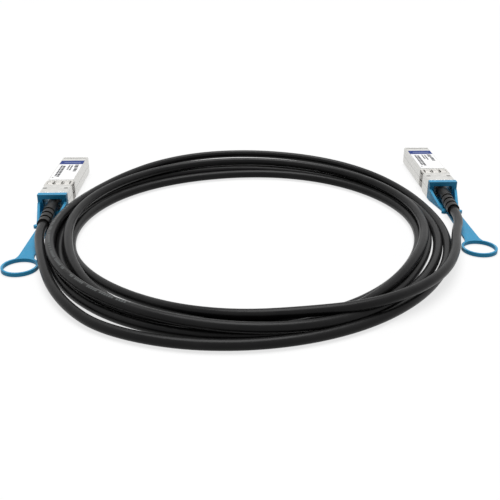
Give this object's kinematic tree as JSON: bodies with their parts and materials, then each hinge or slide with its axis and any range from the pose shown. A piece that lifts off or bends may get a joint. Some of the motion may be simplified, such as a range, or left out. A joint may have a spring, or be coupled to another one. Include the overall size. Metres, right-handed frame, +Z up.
{
  "type": "direct attach network cable",
  "caption": "Coiled black network cable with a metal plug module, ribbed boot and blue pull tab on each end, for linking ports of switches and servers.",
  "frame": {"origin": "on the table, under the middle of the box around both plug modules with their tabs, the cable left out", "axes": "+X from end a to end b, +Y the way both plugs point, +Z up"},
  "size_m": [0.2057, 0.2025, 0.0096],
  "materials": {
    "nickel_shell": "satin nickel plate",
    "spring_steel": "satin",
    "label_sheet": "matt",
    "circuit_board": "satin",
    "gold_contact": "polished",
    "chip_plastic": "matt",
    "chip_ceramic": "matt",
    "wire_insulation": "gloss",
    "crimp_metal": "satin",
    "boot_rubber": "satin",
    "cable_jacket": "satin",
    "screw_steel": "satin",
    "spring_wire": "satin",
    "slide_steel": "satin",
    "tab_plastic": "satin"
  },
  "bodies": {
    "cable_assembly": {"lower_shell_a": "nickel_shell", "upper_shell_a": "nickel_shell", "emi_collar_a": "spring_steel", "label_a": "label_sheet", "paddle_card_a": "circuit_board", "edge_contacts_a": "gold_contact", "memory_chip_a": "chip_plastic", "coupling_capacitors_a": "chip_ceramic", "twinax_pairs_a": "wire_insulation", "crimp_ferrule_a": "crimp_metal", "strain_relief_boot_a": "boot_rubber", "cable_tail_a": "cable_jacket", "shell_screws_a": "screw_steel", "return_springs_a": "spring_wire", "lower_shell_b": "nickel_shell", "upper_shell_b": "nickel_shell", "emi_collar_b": "spring_steel", "label_b": "label_sheet", "paddle_card_b": "circuit_board", "edge_contacts_b": "gold_contact", "memory_chip_b": "chip_plastic", "coupling_capacitors_b": "chip_ceramic", "twinax_pairs_b": "wire_insulation", "crimp_ferrule_b": "crimp_metal", "strain_relief_boot_b": "boot_rubber", "cable_tail_b": "cable_jacket", "shell_screws_b": "screw_steel", "return_springs_b": "spring_wire", "cable_coil": "cable_jacket", "cable_lead_a": "cable_jacket", "cable_lead_b": "cable_jacket"},
    "tab_a": {"pull_tab_a": "tab_plastic", "latch_slide_a": "slide_steel"},
    "tab_b": {"pull_tab_b": "tab_plastic", "latch_slide_b": "slide_steel"}
  },
  "joints": [
    {"name": "tab_a_pull", "type": "slide", "parent": "cable_assembly", "child": "tab_a", "axis": [0.0227, -0.9997, 0], "range_m": [0, 0.0023], "stiffness_N_per_m": 900, "deforming": ["return_springs_a"]},
    {"name": "tab_b_pull", "type": "slide", "parent": "cable_assembly", "child": "tab_b", "axis": [0.0227, -0.9997, 0], "range_m": [0, 0.0023], "stiffness_N_per_m": 900, "deforming": ["return_springs_b"]}
  ]
}
